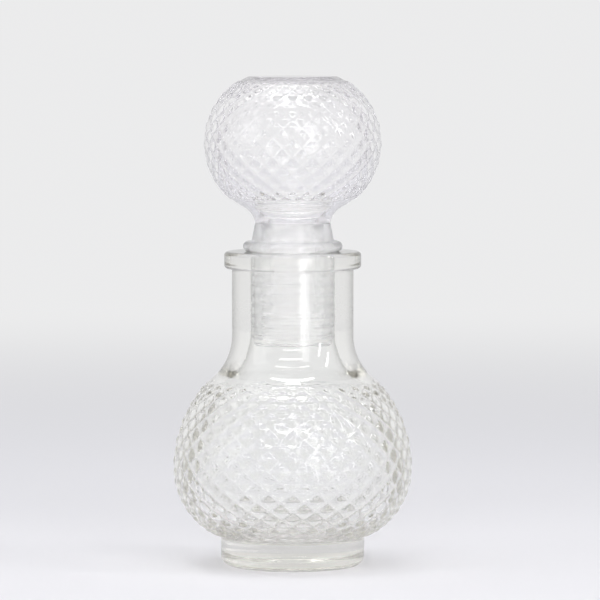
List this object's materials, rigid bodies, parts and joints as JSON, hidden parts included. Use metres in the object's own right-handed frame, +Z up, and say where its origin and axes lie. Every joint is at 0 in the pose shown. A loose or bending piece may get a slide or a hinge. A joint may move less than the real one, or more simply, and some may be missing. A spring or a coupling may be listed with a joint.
{
  "type": "decanter bottle with ball stopper",
  "caption": "Small clear glass decanter with a diamond-studded round body, a plain neck and foot, and a hollow studded ball stopper seated in a ribbed plastic plug.",
  "frame": {"origin": "middle of the ring that the bottle stands on, at table height", "axes": "+Z up along the axis of the neck and of the stopper; X and Y are alike, because the object is round"},
  "size_m": [0.056, 0.056, 0.1144],
  "materials": {
    "bottle_glass": "clear, smooth, faintly green at the edges",
    "stopper_glass": "clear, smooth",
    "plug_plastic": "translucent soft plastic"
  },
  "bodies": {
    "bottle": {"glass_bottle": "bottle_glass"},
    "plug": {"seal_plug": "plug_plastic"},
    "stopper": {"glass_stopper": "stopper_glass"}
  },
  "joints": [
    {"name": "plug lift", "type": "slide", "parent": "bottle", "child": "plug", "axis": [0, 0, 1], "range_m": [0, 0.03]},
    {"name": "stopper twist", "type": "hinge", "parent": "plug", "child": "stopper", "pos_m": [0, 0, 0.08], "axis": [0, 0, 1], "continuous": true}
  ]
}
